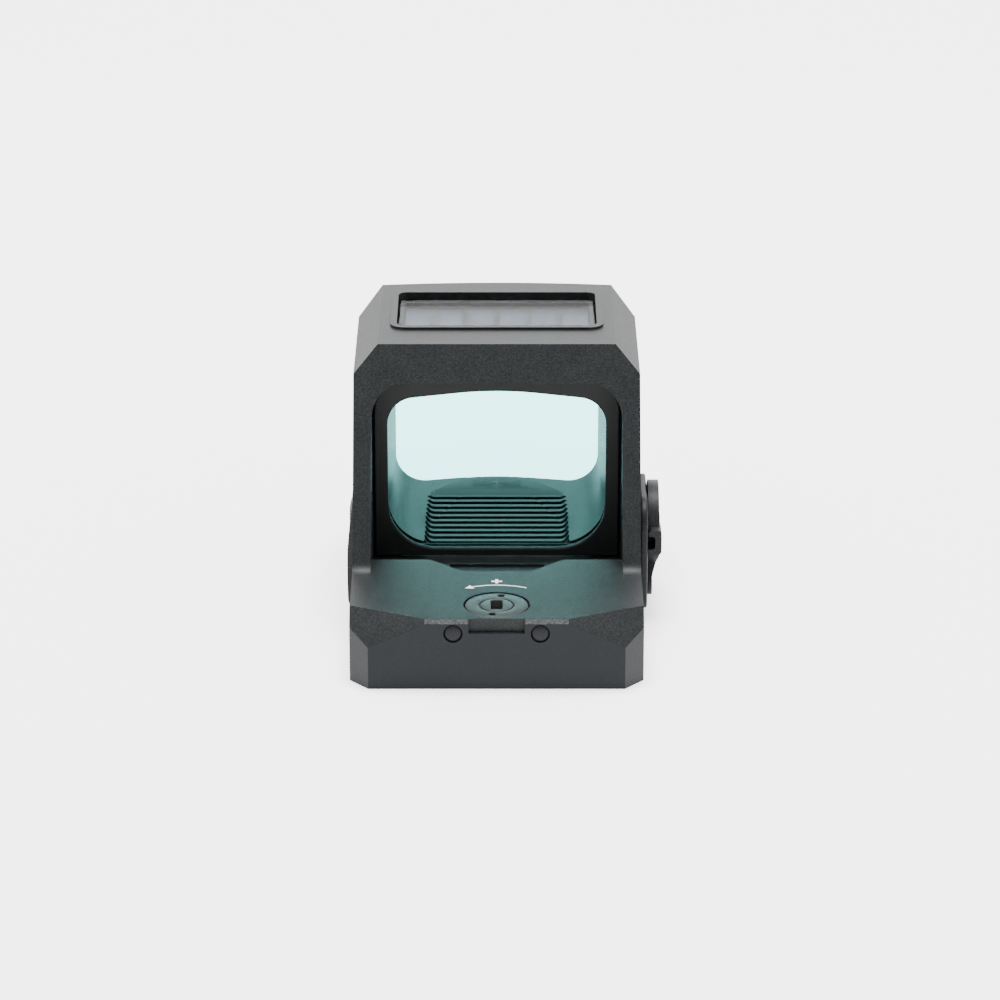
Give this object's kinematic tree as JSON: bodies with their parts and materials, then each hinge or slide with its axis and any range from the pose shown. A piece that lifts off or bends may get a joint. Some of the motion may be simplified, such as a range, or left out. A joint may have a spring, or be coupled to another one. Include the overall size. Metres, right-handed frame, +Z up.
{
  "type": "open reflex red dot sight",
  "caption": "Compact open reflex sight with a leaning hood, teal coated lens, roof solar panel, deck elevation screw, side buttons and a latched battery drawer.",
  "frame": {"origin": "middle of the flat underside, where the sight rests on its mount", "axes": "+Y points at the target, +X is the user's right, +Z is up"},
  "size_m": [0.0332, 0.0455, 0.029],
  "materials": {
    "anodised": "matte black anodised",
    "steel": "blackened satin steel",
    "lens": "polished with a teal reflex coating",
    "black_plastic": "matte black moulded plastic",
    "rubber": "matte black rubber",
    "silicon": "blue-grey silicon wafer",
    "panel_glass": "polished clear glass",
    "panel_board": "pale laminate",
    "circuit": "green solder mask",
    "cell_metal": "nickel-plated steel",
    "brass": "machined brass",
    "red_emitter": "clear red epoxy"
  },
  "bodies": {
    "root": {"housing": "anodised", "base_cover": "anodised", "elevation_spring": "steel", "windage_spring": "steel", "cover_screw_1": "steel", "cover_screw_2": "steel", "cover_screw_3": "steel", "cover_screw_4": "steel", "rear_dot_left": "steel", "rear_dot_right": "steel", "lens": "lens", "lens_retainer": "black_plastic", "controller_chip": "black_plastic", "charger_chip": "black_plastic", "lens_gasket": "rubber", "solar_seal": "rubber", "base_gasket": "rubber", "keypad_frame": "rubber", "solar_cell_1": "silicon", "solar_cell_2": "silicon", "solar_cell_3": "silicon", "solar_cell_4": "silicon", "solar_cell_5": "silicon", "solar_cell_6": "silicon", "solar_window": "panel_glass", "emitter_window": "panel_glass", "solar_board": "panel_board", "circuit_board": "circuit", "contact_positive": "brass", "contact_negative": "brass", "switch_plus": "brass", "switch_minus": "brass"},
    "elevation_adjuster": {"elevation_screw": "steel", "elevation_oring": "rubber"},
    "elevation_slide": {"elevation_slider": "steel"},
    "emitter_carriage": {"emitter_holder": "brass", "led_emitter": "red_emitter"},
    "windage_adjuster": {"windage_screw": "steel", "windage_oring": "rubber"},
    "drawer": {"battery_drawer": "black_plastic", "battery_cell": "cell_metal", "drawer_door": "anodised", "door_seal": "rubber"},
    "latch": {"latch_lever": "anodised", "latch_pin": "steel"},
    "plus_button": {"button_plus": "rubber"},
    "minus_button": {"button_minus": "rubber"}
  },
  "joints": [
    {"name": "elevation_turn", "type": "hinge", "parent": "root", "child": "elevation_adjuster", "pos_m": [0, -0.01815, 0.00745], "axis": [0, 0, 1], "range_deg": [-360, 360]},
    {"name": "elevation_travel", "type": "slide", "parent": "root", "child": "elevation_slide", "axis": [0, 0, 1], "range_m": [-0.00025, 0.00025], "deforming": ["elevation_spring"]},
    {"name": "windage_turn", "type": "hinge", "parent": "root", "child": "windage_adjuster", "pos_m": [0.0149, -0.0122, 0.0043], "axis": [1, 0, 0], "range_deg": [-360, 360]},
    {"name": "windage_travel", "type": "slide", "parent": "elevation_slide", "child": "emitter_carriage", "axis": [1, 0, 0], "range_m": [-0.00025, 0.00025], "deforming": ["windage_spring"]},
    {"name": "drawer_slide", "type": "slide", "parent": "root", "child": "drawer", "axis": [1, 0, 0], "range_m": [0, 0.018]},
    {"name": "latch_turn", "type": "hinge", "parent": "drawer", "child": "latch", "pos_m": [0.01585, 0.002, 0.00864], "axis": [1, 0, 0], "range_deg": [-90, 0]},
    {"name": "plus_press", "type": "slide", "parent": "root", "child": "plus_button", "axis": [1, 0, 0], "range_m": [0, 0.0003], "stiffness_N_per_m": 800},
    {"name": "minus_press", "type": "slide", "parent": "root", "child": "minus_button", "axis": [1, 0, 0], "range_m": [0, 0.0003], "stiffness_N_per_m": 800}
  ],
  "couplings": [
    {"joint": "elevation_turn", "follows": "elevation_travel", "rad_per_m": -25133},
    {"joint": "windage_turn", "follows": "windage_travel", "rad_per_m": -25133}
  ]
}
